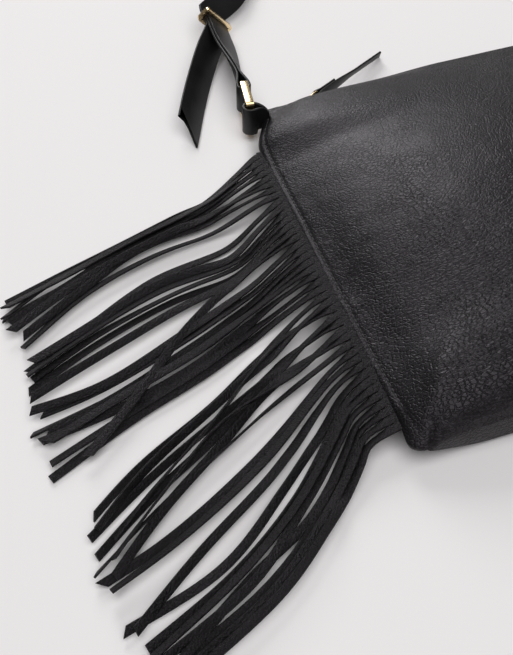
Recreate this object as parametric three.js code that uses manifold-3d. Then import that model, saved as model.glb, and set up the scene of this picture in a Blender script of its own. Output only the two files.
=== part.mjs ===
// A soft leather shoulder bag lying on its back, with a fringe sewn into each side seam.
// Millimetres. +X runs across the bag, +Y from the base to the zipped mouth, +Z up from the table.
// The origin is the middle of the flat back, on the table.
import * as THREE from "three";
import { mergeVertices } from "three/addons/utils/BufferGeometryUtils.js";
import Module from "manifold-3d";

const wasm = await Module();
wasm.setup();

// Clearances
const seatGap = 0.4; // between a piece and the piece that carries it
const floorGap = 0.4; // under the straps and strands that lie on the table

// Bag body
const bagWidth = 330;
const bagHeight = 300;
const baseDepth = 46; // thickness of the stuffed bag over its base
const mouthTop = 25; // height of the front edge of the mouth
const mouthBottom = 3; // height of the back edge of the mouth
const belly = 26; // how far the front bulges above a straight line from base to mouth
const seamHeight = 15; // height of the side seams above the table
const leather = 1.8;
const seamAllowance = 8;
const baseRoll = 24; // length of the rounded turn at the base
const baseCornerInset = 10;
const mouthCornerInset = 15;
const mouthCornerLength = 42;
const mouthLift = 46; // length over which the back curls up to the mouth
const backFlatShare = 0.74; // share of the half width that lies flat on the table
const liningThickness = 1.2;
const frontSteps = 14;
const backSteps = 10;

// Zip in the mouth
const zipRecess = 9; // from the rim of the mouth down to the tape
const tapeThickness = 0.8;
const teethWidth = 2.6; // one row
const teethDepth = 2.2;
const teethSplit = 0.3; // gap between the two rows
const zipStartMargin = 22; // from the left end of the mouth to the teeth
const zipEndMargin = 31; // from the teeth to the right end of the mouth
const tapeTail = 8; // from the end of the teeth to the end of the tape
const sliderLength = 11;
const sliderPlate = 1.3;
const sliderFlange = 1.3;
const bridgeLength = 8;
const bridgeHeight = 4.2;
const bridgeWidth = 3;
const bridgeBar = 1.2;
const pullWire = 1.2;
const pullLinkLength = 9; // between the middles of the two end bars
const thongWidth = 8;
const thongThickness = 1.5;
const thongLength = 84;
const thongFold = 24; // length of the short leaf that is sewn back on the long one
const pullAngle = 34; // from the line of the zip, at rest

// Fringe
const strandCount = 42;
const strandLength = 206;
const strandKerf = 0.6;
const strandThickness = 1.4;
const headerThickness = 2.2;
const rootScatter = 0.67; // how far apart in height the strands leave the header
const headerDepth = 5; // inside the seam
const headerShow = 3; // outside the seam
const fringeTopMargin = 42; // from the mouth down to the first strand
const fringeBaseMargin = 14; // from the base up to the last strand
const strandLayers = 3;
const strandExit = 4; // straight stretch out of the header
const strandRun = 20; // how far out the strands still lie side by side
const strandDrift = 0.22; // share of its way to the lock's waist that a strand drifts over that run
const layerSplit = 12; // length over which the layers of strands part
const strandDrop = 64; // length over which a strand comes down to the table
const strandSteps = 6;

// Straps, rings and tabs
const strapWidth = 22;
const strapThickness = 2;
const ringBar = 2.6;
const ringThickness = 5.5;
const ringClear = 1; // more inside width than the strap
const ringSpan = 25; // between the middles of the two long bars
const tabLength = 17;
const tabLeaf = 2.2;
const tabFacets = 8; // on each half of the tab's eye
const chapeLeaf = 1.8;
const chapeOverrun = 6; // past the keeper
const chapeStraight = 14; // stretch of the chape that runs in line with the keeper
const chapeTwist = 0.9; // share of the rest of its length over which it twists
const keeperBar = 2.6;
const keeperLength = 3.4;
const tailCut = 24; // how far the tail's point runs past a square end
const archSteps = 26;
const sewnLeaf = 46; // the strap's right end, turned back over its ring
const cornerReach = 11; // from the corner of the mouth out to the ring's pivot
const pivotDrop = 8; // from the edge of the mouth down to the pivots
const pivotRise = 17.5; // height of the pivots above the table

const tabHeading = 75; // degrees that each tab turns out from the line of the bag's side
const leftLean = 0; // degrees from upright, towards the bag
const leftTurn = 83; // the left ring's turn at rest from the line of its tab, towards the bag
const rightLean = 0;
const rightTurn = -15;
const keeperPlace = [12, 120, -0.5]; // from the left ring's pivot
const keeperHeading = 4; // degrees from +Y towards +X
const keeperLean = -42;
const flatLean = -36; // further lean of the strap just past the keeper

const DEG = Math.PI / 180;
const UP = new THREE.Vector3(0, 0, 1);
const vec = (x, y, z = 0) => new THREE.Vector3(x, y, z);
const smooth = (t) => THREE.MathUtils.smoothstep(t, 0, 1);

// Materials
function paint(color, roughness, metalness = 0) {
  return new THREE.MeshStandardMaterial({ color, roughness, metalness });
}

const pebbledLeather = paint(0x1d1b1e, 0.55);
const strapLeather = paint(0x1a191b, 0.5);
const fringeLeather = paint(0x1f1e20, 0.7);
const goldMetal = paint(0xd9b56a, 0.25, 1);
const liningCloth = paint(0x2a2826, 0.9);
const zipCloth = paint(0x17161a, 0.85);

// Solids
function solidOf(geometry) {
  const bare = geometry.clone();
  bare.deleteAttribute("normal");
  bare.deleteAttribute("uv");
  const merged = mergeVertices(bare, 1e-4);
  return new wasm.Manifold(
    new wasm.Mesh({
      numProp: 3,
      vertProperties: merged.attributes.position.array,
      triVerts: new Uint32Array(merged.index.array),
    }),
  );
}

function geometryOf(solid) {
  const mesh = solid.getMesh();
  const geometry = new THREE.BufferGeometry();
  geometry.setAttribute("position", new THREE.BufferAttribute(mesh.vertProperties, 3));
  geometry.setIndex(new THREE.BufferAttribute(mesh.triVerts, 1));
  return geometry;
}

// A skin through rings of points that all have the same count.
// It is capped at both ends unless it closes on itself. The first crossed spans take the other diagonal,
// so that two leaves of one twisted strip stay clear of each other.
function loft(rings, closed = false, crossed = 0) {
  const count = rings[0].length;
  const points = rings.flat();
  const faces = [];
  const last = closed ? rings.length : rings.length - 1;
  for (let r = 0; r < last; r++) {
    const here = r * count;
    const next = ((r + 1) % rings.length) * count;
    for (let i = 0; i < count; i++) {
      const j = (i + 1) % count;
      if (r < crossed) {
        faces.push(here + i, here + j, next + i, here + j, next + j, next + i);
      } else {
        faces.push(here + i, here + j, next + j, here + i, next + j, next + i);
      }
    }
  }
  if (!closed) {
    for (const [ring, turned] of [[0, true], [rings.length - 1, false]]) {
      const middle = rings[ring].reduce((sum, p) => sum.add(p), vec(0, 0)).divideScalar(count);
      const centre = points.push(middle) - 1;
      for (let i = 0; i < count; i++) {
        const a = ring * count + i;
        const b = ring * count + ((i + 1) % count);
        faces.push(centre, turned ? b : a, turned ? a : b);
      }
    }
  }
  return new THREE.BufferGeometry().setFromPoints(points).setIndex(faces);
}

// A flat strip along a line of stations. Each station has a point, and a lean of the strip's width
// from upright towards the right of its run. skew cuts the first end on a slant.
function strip(stations, width, thickness, skew = 0) {
  const rings = stations.map((station, i) => {
    const before = stations[Math.max(i - 1, 0)].at;
    const after = stations[Math.min(i + 1, stations.length - 1)].at;
    const along = after.clone().sub(before).normalize();
    const side = along.clone().cross(UP).normalize();
    const upright = side.clone().cross(along).normalize();
    const across = upright.multiplyScalar(Math.cos(station.lean));
    across.addScaledVector(side, Math.sin(station.lean));
    const face = along.clone().cross(across);
    return [[-1, -1], [1, -1], [1, 1], [-1, 1]].map(([u, v]) => {
      const corner = station.at.clone();
      corner.addScaledVector(across, (u * width) / 2).addScaledVector(face, (v * thickness) / 2);
      return i === 0 && u < 0 ? corner.addScaledVector(along, -skew) : corner;
    });
  });
  return loft(rings);
}

function extruded(shape, depth, curveSegments = 3) {
  const options = { depth, bevelEnabled: false, curveSegments };
  return new THREE.ExtrudeGeometry(shape, options).translate(0, 0, -depth / 2);
}

function roundedRect(path, width, height, radius) {
  const [x, y] = [width / 2, height / 2];
  path.moveTo(-x + radius, -y).lineTo(x - radius, -y);
  path.absarc(x - radius, -y + radius, radius, -Math.PI / 2, 0);
  path.absarc(x - radius, y - radius, radius, 0, Math.PI / 2);
  path.absarc(-x + radius, y - radius, radius, Math.PI / 2, Math.PI);
  path.absarc(-x + radius, -y + radius, radius, Math.PI, 1.5 * Math.PI);
  return path;
}

const box = (x, y, z) => new THREE.BoxGeometry(x, y, z);
const piece = (name, geometry, material) => Object.assign(new THREE.Mesh(geometry, material), { name });

// Bag body: sections across the bag at stations from the base to the mouth
const baseY = -bagHeight / 2;
const mouthY = bagHeight / 2;
const tapeY = mouthY - zipRecess;
const baseTurns = [22, 45, 68, 90].map((angle) => angle * DEG);
const bodyShares = [0.24, 0.38, 0.52, 0.66, 0.78];
const bodyStations = bodyShares.map((share) => baseY + baseRoll + share * (bagHeight - baseRoll));
const mouthStations = [mouthY - mouthLift, mouthY - mouthCornerLength / 2, tapeY, mouthY];

function halfWidthAt(y, roll) {
  const corner = smooth((y - (mouthY - mouthCornerLength)) / mouthCornerLength);
  return bagWidth / 2 - mouthCornerInset * corner - baseCornerInset * (1 - roll);
}

// inset is the distance in from the leather's outside.
function frontHeight(a, y, roll, inset) {
  const rise = (y - baseY) / bagHeight;
  const crown = baseDepth + (mouthTop - baseDepth) * rise + belly * Math.sin(Math.PI * rise);
  const boxy = 2.2 + 3 * (1 - smooth(rise / 0.25)) + 3 * smooth((rise - 0.78) / 0.2);
  const bluntness = 1.6 / (0.5 + boxy / 2);
  return seamHeight + (crown - inset - seamHeight) * roll * (1 - Math.abs(a) ** boxy) ** bluntness;
}

function backHeight(a, y, roll, inset) {
  const lift = mouthBottom * smooth((y - (mouthY - mouthLift)) / mouthLift);
  const edge = Math.max(0, (Math.abs(a) - backFlatShare) / (1 - backFlatShare));
  return seamHeight - (seamHeight - lift - inset) * roll * (1 - edge ** 2) ** 0.7;
}

function section(y, roll, inset) {
  const half = halfWidthAt(y, roll) - (inset > 0 ? inset + seamAllowance : 0);
  const ring = [];
  for (let i = 0; i <= backSteps; i++) {
    const a = -Math.cos((i / backSteps) * Math.PI);
    ring.push(vec(half * a, y, backHeight(a, y, roll, inset)));
  }
  for (let i = 1; i < frontSteps; i++) {
    const a = Math.cos((i / frontSteps) * Math.PI);
    ring.push(vec(half * a, y, frontHeight(a, y, roll, inset)));
  }
  return ring.reverse();
}

// The body at an inset, from its base up to endY, and on past the mouth by overrun.
function bodyForm(inset, endY, overrun = 0) {
  const rings = baseTurns.map((turn) => {
    const y = baseY + inset + (baseRoll - inset) * (1 - Math.cos(turn));
    return section(y, Math.sin(turn), inset);
  });
  for (const y of [...bodyStations, ...mouthStations].filter((at) => at < endY - 1)) {
    rings.push(section(y, 1, inset));
  }
  rings.push(section(endY, 1, inset));
  if (overrun > 0) {
    rings.push(section(endY, 1, inset).map((p) => p.setY(endY + overrun)));
  }
  return solidOf(loft(rings));
}

// Fringe header and strands. side is -1 for the left seam and 1 for the right.
const fringeTop = mouthY - fringeTopMargin;
const fringeBase = baseY + fringeBaseMargin;
const strandPitch = (fringeTop - fringeBase) / strandCount;
const seamX = bagWidth / 2;

function headerBox(side, grow) {
  const depth = headerDepth + headerShow;
  const header = box(depth + 2 * grow, fringeTop - fringeBase + 2 * grow, headerThickness + 2 * grow);
  return header.translate(side * (seamX + headerShow - depth / 2), (fringeTop + fringeBase) / 2, seamHeight);
}

// Each lock of strands lies between two edges, given from near the seam to the tips. A place is its distance
// out from the seam and its distance along +Y from the middle of the bag.
const leftLocks = [
  {
    strands: 8,
    upper: [[51, 82], [107, 63], [158, 49], [200, 35]],
    lower: [[48, 53], [96, 45], [140, 24], [188, -2]],
  },
  {
    strands: 6,
    upper: [[49, 38], [101, 27], [160, 0], [200, -20]],
    lower: [[48, 6], [90, -5], [136, -19], [196, -40]],
  },
  {
    strands: 9,
    upper: [[46, 0], [90, -22], [151, -46], [202, -50]],
    lower: [[46, -36], [90, -57], [136, -73], [196, -98]],
  },
  {
    strands: 8,
    upper: [[42, -46], [91, -78], [146, -108], [192, -142]],
    lower: [[50, -86], [96, -113], [138, -142], [186, -178]],
  },
  {
    strands: 11,
    upper: [[40, -96], [82, -123], [138, -156], [190, -188]],
    lower: [[29, -147], [61, -178], [95, -204], [166, -237]],
  },
];
const rightLocks = [
  {
    strands: 9,
    upper: [[50, 90], [106, 80], [156, 66], [204, 50]],
    lower: [[48, 62], [98, 52], [150, 36], [200, 15]],
  },
  {
    strands: 8,
    upper: [[48, 40], [100, 24], [152, 6], [204, -9]],
    lower: [[46, 16], [96, 2], [146, -14], [198, -38]],
  },
  {
    strands: 6,
    upper: [[46, -4], [98, -22], [150, -44], [200, -64]],
    lower: [[46, -24], [96, -44], [146, -68], [194, -90]],
  },
  {
    strands: 9,
    upper: [[44, -40], [94, -70], [146, -96], [198, -120]],
    lower: [[44, -80], [94, -104], [142, -130], [190, -158]],
  },
  {
    strands: 10,
    upper: [[40, -96], [88, -126], [138, -150], [188, -172]],
    lower: [[32, -142], [66, -174], [106, -200], [172, -226]],
  },
];

function strand(side, lock, order, rootY) {
  const share = (order + 0.5) / lock.strands;
  const out = (x, y) => vec(side * (seamX + x), y);
  const places = lock.upper.map(([x, y], i) => {
    const [lowX, lowY] = lock.lower[i];
    return out(x + (lowX - x) * share, y + (lowY - y) * share);
  });
  const drift = rootY + strandDrift * (places[0].y - rootY);
  const root = [out(headerShow - 1, rootY), out(headerShow + strandExit, rootY)];
  const route = new THREE.CatmullRomCurve3([...root, out(strandRun, drift), ...places]);
  const layer = order % strandLayers;
  const rootZ = seamHeight + rootScatter * (((Math.abs(rootY) * 0.618) % 1) - 0.5);
  const restZ = floorGap + strandThickness / 2;
  const stacked = layer * (strandThickness + seatGap);
  const length = route.getLength();
  const runs = [0, 1 + strandExit];
  for (let i = 1; i <= strandSteps; i++) {
    runs.push((i / strandSteps) ** 1.25 * strandLength);
  }
  const stations = [];
  for (const run of runs) {
    const at = route.getPointAt(Math.min(run / length, 1));
    at.z = rootZ + (restZ - rootZ) * smooth(run / strandDrop) + stacked * smooth(run / layerSplit);
    stations.push({ at, lean: Math.PI / 2 });
  }
  return solidOf(strip(stations, strandPitch - strandKerf, strandThickness));
}

function fringe(name, side, locks) {
  let solid = solidOf(headerBox(side, 0));
  let rootY = fringeTop - strandPitch / 2;
  for (const lock of locks) {
    for (let order = 0; order < lock.strands; order++) {
      solid = solid.add(strand(side, lock, order, rootY));
      rootY -= strandPitch;
    }
  }
  return piece(name, geometryOf(solid), fringeLeather);
}

// A frame on a chain of strap fittings: along runs away from the bag, across is the strap's width.
function chainFrame(origin, heading, lean) {
  const along = vec(Math.sin(heading * DEG), Math.cos(heading * DEG));
  const side = along.clone().cross(UP);
  const across = UP.clone().multiplyScalar(Math.cos(lean * DEG)).addScaledVector(side, Math.sin(lean * DEG));
  return { origin, along, across, face: along.clone().cross(across) };
}

function placed(mesh, origin, xAxis, yAxis, zAxis) {
  const group = new THREE.Group();
  group.position.copy(origin);
  group.quaternion.setFromRotationMatrix(new THREE.Matrix4().makeBasis(xAxis, yAxis, zAxis));
  return group.add(mesh);
}

const pivotX = bagWidth / 2 - mouthCornerInset + cornerReach;
const pivotY = mouthY - pivotDrop;
const leftPivot = vec(-pivotX, pivotY, pivotRise);
const rightPivot = vec(pivotX, pivotY, pivotRise);
const turned = ({ origin, along, across, face }, angle) => {
  const swung = along.clone().multiplyScalar(Math.cos(angle * DEG));
  swung.addScaledVector(face, Math.sin(angle * DEG));
  return { origin, along: swung, across, face: swung.clone().cross(across) };
};
const leftTabFrame = chainFrame(leftPivot, -tabHeading, leftLean);
const leftRingFrame = turned(leftTabFrame, leftTurn);
const rightTabFrame = chainFrame(rightPivot, tabHeading, rightLean);
const rightRingFrame = turned(rightTabFrame, rightTurn);

// Tab: a strip turned round the ring's inner bar, its two leaves sewn together in the corner of the bag.
const eyeRadius = Math.hypot(ringBar, ringThickness) / 2 + seatGap;

function tabShape(grow) {
  const round = eyeRadius + tabLeaf + grow;
  const flat = tabLeaf + grow;
  const shape = new THREE.Shape();
  shape.absarc(0, 0, round, -Math.PI / 2, Math.PI / 2);
  shape.bezierCurveTo(-round, round, -round * 1.4, flat, -round * 2.2, flat);
  shape.lineTo(-tabLength - grow, flat).lineTo(-tabLength - grow, -flat).lineTo(-round * 2.2, -flat);
  shape.bezierCurveTo(-round * 1.4, -flat, -round, -round, 0, -round);
  if (grow === 0) {
    shape.holes.push(new THREE.Path().absarc(0, 0, eyeRadius, 0, 2 * Math.PI, true));
  }
  return shape;
}

function tab(name, frame, grow = 0) {
  const mesh = piece(name, extruded(tabShape(grow), strapWidth + 2 * grow, tabFacets), strapLeather);
  return placed(mesh, frame.origin, frame.along, frame.face, frame.across.clone().negate());
}

function ring(name, frame) {
  const inside = strapWidth + ringClear;
  const shape = roundedRect(new THREE.Shape(), ringSpan + ringBar, inside + 2 * ringBar, ringBar);
  shape.holes.push(roundedRect(new THREE.Path(), ringSpan - ringBar, inside, ringBar / 3));
  const mesh = piece(name, extruded(shape, ringThickness).translate(ringSpan / 2, 0, 0), goldMetal);
  return placed(mesh, frame.origin, frame.along, frame.across, frame.face);
}

// A strip turned back round a bar: stations in the plane of along and face, from the end of one leaf,
// round the bar and out along the other leaf. Each entry is a distance along and a distance off the middle.
function turnBack(barAt, barRadius, leaf, reachA, reachB, steps) {
  const wide = barRadius + seatGap + leaf / 2;
  const narrow = leaf / 2 + seatGap / 2;
  const settle = 4 * wide;
  const leafStations = (reach, side) => {
    const leafPart = [[barAt + settle / 2, side * ((wide + narrow) / 2 + seatGap / 2)]];
    for (let i = 0; i <= steps; i++) {
      leafPart.push([barAt + settle + (i / steps) * (reach - settle), side * narrow]);
    }
    return leafPart;
  };
  const turn = [];
  for (let angle = 0; angle <= 180; angle += 30) {
    turn.push([barAt - wide * Math.sin(angle * DEG), wide * Math.cos(angle * DEG)]);
  }
  return [...leafStations(reachA, 1).reverse(), ...turn, ...leafStations(reachB, -1)];
}

const barRadius = Math.hypot(ringBar, ringThickness) / 2;

// Chape: the short folded strap between the left ring and the keeper. It twists along its length.
const keeperFrame = chainFrame(leftPivot.clone().add(vec(...keeperPlace)), keeperHeading, keeperLean);
const ringEnd = leftPivot.clone().addScaledVector(leftRingFrame.along, ringSpan);
const straightStart = keeperFrame.origin.clone().addScaledVector(keeperFrame.along, -chapeStraight);
const chapeBend = ringEnd.distanceTo(straightStart) / 2.4;
const chapeLine = new THREE.CubicBezierCurve3(
  ringEnd,
  ringEnd.clone().addScaledVector(leftRingFrame.along, chapeBend),
  straightStart.clone().addScaledVector(keeperFrame.along, -chapeBend),
  straightStart,
);
const chapeSpan = chapeLine.getLength();

// The chape's frame at a distance past the ring's outer bar
function chapeFrame(run) {
  const share = Math.min(Math.max(run / chapeSpan, 0), 1);
  const along = chapeLine.getTangentAt(share);
  const across = leftRingFrame.across.clone().lerp(keeperFrame.across, smooth(share / chapeTwist));
  across.addScaledVector(along, -across.dot(along)).normalize();
  const origin = chapeLine.getPointAt(share).addScaledVector(along, run - share * chapeSpan);
  return { origin, along, across, face: along.clone().cross(across) };
}

function chape() {
  const reach = chapeSpan + chapeStraight + chapeOverrun;
  const leaves = turnBack(0, barRadius, chapeLeaf, reach, reach, 6).map(([run, off]) => {
    const frame = chapeFrame(run);
    return { at: frame.origin.clone().addScaledVector(frame.face, off), across: frame.across };
  });
  const rings = leaves.map(({ at, across }, i) => {
    const before = leaves[Math.max(i - 1, 0)].at;
    const after = leaves[Math.min(i + 1, leaves.length - 1)].at;
    const out = after.clone().sub(before).cross(across).normalize();
    return [[-1, -1], [1, -1], [1, 1], [-1, 1]].map(([u, v]) =>
      at.clone().addScaledVector(across, (u * strapWidth) / 2).addScaledVector(out, (v * chapeLeaf) / 2),
    );
  });
  return piece("buckle_strap", loft(rings, false, Math.floor(rings.length / 2)), strapLeather);
}

// Keeper: the metal loop that holds the long strap beside the chape's two leaves.
const leavesHalf = chapeLeaf + seatGap / 2;
const strapOffset = -(leavesHalf + seatGap + strapThickness / 2);

function keeper() {
  const low = strapOffset - strapThickness / 2 - seatGap;
  const high = leavesHalf + seatGap;
  const [insideWidth, insideDepth] = [strapWidth + ringClear, high - low];
  const [outWidth, outDepth] = [insideWidth + 2 * keeperBar, insideDepth + 2 * keeperBar];
  const shape = roundedRect(new THREE.Shape(), outWidth, outDepth, keeperBar);
  shape.holes.push(roundedRect(new THREE.Path(), insideWidth, insideDepth, keeperBar / 3));
  const loop = extruded(shape, keeperLength).translate(0, (high + low) / 2, 0);
  const mesh = piece("strap_keeper", loop, goldMetal);
  return placed(mesh, keeperFrame.origin, keeperFrame.across, keeperFrame.face, keeperFrame.along);
}

// Long strap: from its slanted tail through the keeper, round behind the bag and back to the right ring.
// Its route is relative to the bag's two top corners, so that it follows them.
const lyingHeight = (lean) =>
  (strapWidth / 2) * Math.cos(lean) + (strapThickness / 2) * Math.abs(Math.sin(lean)) + floorGap;

function strap() {
  const keeperPoint = keeperFrame.origin.clone().addScaledVector(keeperFrame.face, strapOffset);
  const lean = keeperLean * DEG;
  const tail = [[-51, -106], [-39, -79], [-26, -53], [-13, -30]].map(([x, y], i, all) => {
    const lift = smooth((i - 1) / (all.length - 1));
    const z = lyingHeight(lean) * (1 - lift) + keeperPoint.z * lift;
    return { at: vec(keeperPoint.x + x, keeperPoint.y + y, z), lean };
  });
  const through = [-3, -1, 1, 3].map((share) => ({
    at: keeperPoint.clone().addScaledVector(keeperFrame.along, share * keeperLength),
    lean,
  }));
  const [left, right] = [leftPivot, rightPivot];
  const foldEnd = rightPivot.clone().addScaledVector(rightRingFrame.along, ringSpan + sewnLeaf + strapWidth);
  const arch = new THREE.CatmullRomCurve3([
    keeperPoint.clone().addScaledVector(keeperFrame.along, 4 * keeperLength),
    vec(left.x + 34, left.y + 152),
    vec(left.x + 78, left.y + 212),
    vec((left.x + right.x) / 2, left.y + 262),
    vec(right.x + 4, right.y + 224),
    vec(right.x + 74, right.y + 140),
    foldEnd,
  ]);
  const over = [];
  for (let i = 0; i <= archSteps; i++) {
    const share = i / archSteps;
    const at = arch.getPointAt(share);
    const settle = smooth(share / 0.35);
    const rise = smooth(4 * share - 3);
    const flat = flatLean * DEG * Math.sin(Math.PI * Math.min(share / 0.3, 1));
    const here = lean * (1 - settle) + flat;
    const low = keeperPoint.z + (lyingHeight(here) - keeperPoint.z) * settle;
    at.z = low + (rightPivot.z - low) * rise;
    over.push({ at, lean: here });
  }
  const fold = turnBack(ringSpan, barRadius, strapThickness, sewnLeaf, sewnLeaf, 2).map(([along, off]) => {
    const at = rightPivot.clone().addScaledVector(rightRingFrame.along, along);
    return { at: at.addScaledVector(rightRingFrame.face, -off), lean: 0 };
  });
  const stations = [...tail, ...through, ...over, ...fold];
  return piece("long_strap", strip(stations, strapWidth, strapThickness, tailCut), strapLeather);
}

// Zip: two tapes across the mouth, a row of teeth on each, and the slider with its pull
const zipMiddle = (frontHeight(0, tapeY, 1, leather) + backHeight(0, tapeY, 1, leather)) / 2;
const mouthHalf = halfWidthAt(tapeY, 1) - leather - seamAllowance;
const teethLeft = -mouthHalf + zipStartMargin;
const teethRight = mouthHalf - zipEndMargin;
const teethLength = teethRight - teethLeft;
const teethMiddle = (teethLeft + teethRight) / 2;
const teethY = tapeY + tapeThickness / 2 + seatGap + teethDepth / 2;
const rowOffset = (teethSplit + teethWidth) / 2;

// The tape fills the mouth on one side of the teeth. side is 1 for the front tape and -1 for the back one.
function zipTape(name, side) {
  const outline = section(tapeY, 1, leather + seatGap).map((p) => new THREE.Vector2(p.x, p.z));
  const plug = extruded(new THREE.Shape(outline), tapeThickness).rotateX(Math.PI / 2).translate(0, tapeY, 0);
  const keptZ = zipMiddle + (side * (bagWidth + teethSplit)) / 2;
  const half = box(teethLength + 2 * tapeTail, bagWidth, bagWidth).translate(teethMiddle, 0, keptZ);
  return piece(name, geometryOf(solidOf(plug).intersect(solidOf(half))), zipCloth);
}

function zipTeeth(name, side) {
  const row = box(teethLength, teethDepth, teethWidth);
  return piece(name, row.translate(teethMiddle, teethY, zipMiddle + side * rowOffset), zipCloth);
}

// Slider: a channel over the teeth with a bridge for the pull
const sliderX = teethLeft + sliderLength / 2;
const channelHalf = rowOffset + teethWidth / 2 + seatGap;
const plateY = teethY + teethDepth / 2 + seatGap;
const bridgeY = plateY + sliderPlate;

function slider() {
  const tapeFace = tapeY + tapeThickness / 2 + seatGap;
  const depth = bridgeY - tapeFace;
  const width = 2 * (channelHalf + sliderFlange);
  const block = box(sliderLength, depth, width).translate(0, tapeFace + depth / 2, 0);
  const channel = box(2 * sliderLength, 2 * (plateY - tapeFace), 2 * channelHalf).translate(0, tapeFace, 0);
  const arch = new THREE.Shape();
  const [half, top] = [bridgeLength / 2, bridgeHeight];
  arch.moveTo(-half, -sliderPlate / 2).lineTo(half, -sliderPlate / 2).lineTo(half, top / 2);
  arch.quadraticCurveTo(half, top, 0, top).quadraticCurveTo(-half, top, -half, top / 2);
  const eye = new THREE.Path();
  const [eyeHalf, eyeTop] = [half - bridgeBar, top - bridgeBar];
  eye.moveTo(-eyeHalf, 0).lineTo(eyeHalf, 0).lineTo(eyeHalf, eyeTop / 2);
  eye.quadraticCurveTo(eyeHalf, eyeTop, 0, eyeTop).quadraticCurveTo(-eyeHalf, eyeTop, -eyeHalf, eyeTop / 2);
  arch.holes.push(eye);
  const bridge = solidOf(extruded(arch, bridgeWidth).translate(0, bridgeY, 0));
  const geometry = geometryOf(solidOf(block).subtract(solidOf(channel)).add(bridge));
  return piece("zip_slider", geometry.translate(sliderX, 0, zipMiddle), goldMetal);
}

const pullPivot = vec(sliderX, bridgeY + (bridgeHeight - bridgeBar) / 2, zipMiddle);
const pullFrame = chainFrame(pullPivot, 90 - pullAngle, 0);

function pullLink() {
  const inside = thongWidth + ringClear;
  const shape = roundedRect(new THREE.Shape(), pullLinkLength + pullWire, inside + 2 * pullWire, pullWire);
  shape.holes.push(roundedRect(new THREE.Path(), pullLinkLength - pullWire, inside, pullWire / 3));
  const mesh = piece("pull_link", extruded(shape, pullWire).translate(pullLinkLength / 2, 0, 0), goldMetal);
  return placed(mesh, pullPivot, pullFrame.along, pullFrame.across, pullFrame.face);
}

function pullThong() {
  const wireRadius = Math.hypot(pullWire, pullWire) / 2;
  const path = turnBack(pullLinkLength, wireRadius, thongThickness, thongLength, thongFold, 5);
  const lying = thongWidth / 2 + floorGap;
  const drooped = (along) => smooth((along - thongFold) / (thongLength - thongFold));
  const stations = path.map(([along, off]) => {
    const at = pullPivot.clone().addScaledVector(pullFrame.along, along).addScaledVector(pullFrame.face, off);
    return { at: at.setZ(pullPivot.z + (lying - pullPivot.z) * drooped(along)), lean: 0 };
  });
  return piece("pull_thong", strip(stations, thongWidth, thongThickness), strapLeather);
}

// Leather shell and cloth lining. The shell is slotted for the fringe headers and the two tabs.
function worldSolid(group) {
  group.updateMatrixWorld(true);
  const mesh = group.children[0];
  const geometry = mesh.geometry.clone();
  return solidOf(geometry.applyMatrix4(mesh.matrixWorld));
}

function shell() {
  let solid = bodyForm(0, mouthY).subtract(bodyForm(leather, mouthY, seamAllowance));
  for (const side of [-1, 1]) {
    solid = solid.subtract(solidOf(headerBox(side, seatGap)));
  }
  for (const frame of [leftTabFrame, rightTabFrame]) {
    solid = solid.subtract(worldSolid(tab("slot", frame, seatGap)));
  }
  return piece("outer_shell", geometryOf(solid), pebbledLeather);
}

function lining() {
  const rim = tapeY - tapeThickness / 2 - seatGap;
  const outside = bodyForm(leather + seatGap, rim);
  const inside = bodyForm(leather + seatGap + liningThickness, rim, seamAllowance);
  return piece("lining", geometryOf(outside.subtract(inside)), liningCloth);
}

const bag = new THREE.Group();
bag.add(shell(), lining());
bag.add(fringe("fringe_left", -1, leftLocks), fringe("fringe_right", 1, rightLocks));
bag.add(tab("tab_left", leftTabFrame), tab("tab_right", rightTabFrame));
bag.add(ring("ring_left", leftRingFrame), ring("ring_right", rightRingFrame));
bag.add(chape(), keeper(), strap());
bag.add(zipTape("zip_tape_front", 1), zipTape("zip_tape_back", -1));
bag.add(zipTeeth("zip_teeth_front", 1), zipTeeth("zip_teeth_back", -1));
bag.add(slider(), pullLink(), pullThong());

export default bag;
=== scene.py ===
"""A black leather shoulder bag lying on its back, with a long fringe in each side seam."""
import math
import random
from collections import namedtuple

import bpy
from mathutils import Matrix, Vector, noise


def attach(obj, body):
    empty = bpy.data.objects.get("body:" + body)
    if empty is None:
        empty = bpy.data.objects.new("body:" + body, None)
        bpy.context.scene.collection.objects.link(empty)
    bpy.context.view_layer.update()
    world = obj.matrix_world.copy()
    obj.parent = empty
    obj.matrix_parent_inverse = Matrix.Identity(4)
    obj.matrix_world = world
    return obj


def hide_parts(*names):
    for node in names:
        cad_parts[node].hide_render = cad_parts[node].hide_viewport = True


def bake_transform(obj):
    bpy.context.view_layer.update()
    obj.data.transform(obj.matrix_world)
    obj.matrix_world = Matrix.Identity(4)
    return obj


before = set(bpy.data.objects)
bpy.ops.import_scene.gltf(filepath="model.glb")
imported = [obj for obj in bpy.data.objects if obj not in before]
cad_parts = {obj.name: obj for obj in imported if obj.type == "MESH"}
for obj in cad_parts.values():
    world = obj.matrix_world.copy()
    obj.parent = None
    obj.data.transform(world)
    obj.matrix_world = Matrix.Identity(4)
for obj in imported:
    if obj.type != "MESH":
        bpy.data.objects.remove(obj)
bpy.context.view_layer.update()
MM = 0.001
FACING = 0.9
WELD = 0.00001
FINE_WELD = 0.000001

# Sizes in millimetres. They are the part's own, apart from STRAND_RUN and STRAND_DRIFT.
BAG_WIDTH = 330
BAG_HEIGHT = 300
BASE_DEPTH = 46
MOUTH_TOP = 25
MOUTH_BOTTOM = 3
BELLY = 26
SEAM_HEIGHT = 15
LEATHER = 1.8
SEAM_ALLOWANCE = 8
BASE_ROLL = 24
BASE_CORNER_INSET = 10
MOUTH_CORNER_INSET = 15
MOUTH_CORNER_LENGTH = 42
MOUTH_LIFT = 46
BACK_FLAT_SHARE = 0.74
LINING = 1.2
SEAT_GAP = 0.4
FLOOR_GAP = 0.4

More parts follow.
